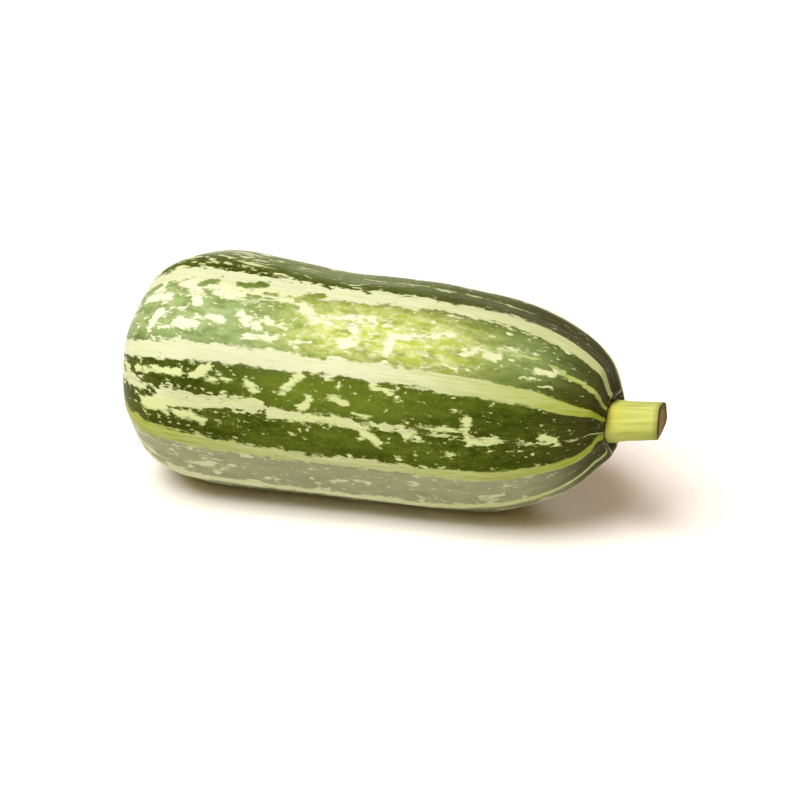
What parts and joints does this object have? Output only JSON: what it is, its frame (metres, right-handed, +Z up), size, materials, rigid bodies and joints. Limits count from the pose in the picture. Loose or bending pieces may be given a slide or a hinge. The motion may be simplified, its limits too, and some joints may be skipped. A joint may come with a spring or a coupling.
{
  "type": "vegetable marrow",
  "caption": "Whole vegetable marrow lying on its side: a long ribbed fruit, pale stripes on flecked green skin, with a short cut stalk.",
  "frame": {"origin": "middle of the base of the whole marrow's box, on the surface that it lies on", "axes": "+X along the length towards the stalk, +Z up, +Y away from the side that shows most"},
  "size_m": [0.2666, 0.1256, 0.1155],
  "materials": {
    "skin": "waxy satin skin, dark green with pale yellow-green stripes and flecks",
    "stalk": "matte, fibrous, pale yellow-green, browned at the cut"
  },
  "bodies": {
    "root": {"fruit": "skin", "stalk": "stalk"}
  },
  "joints": []
}
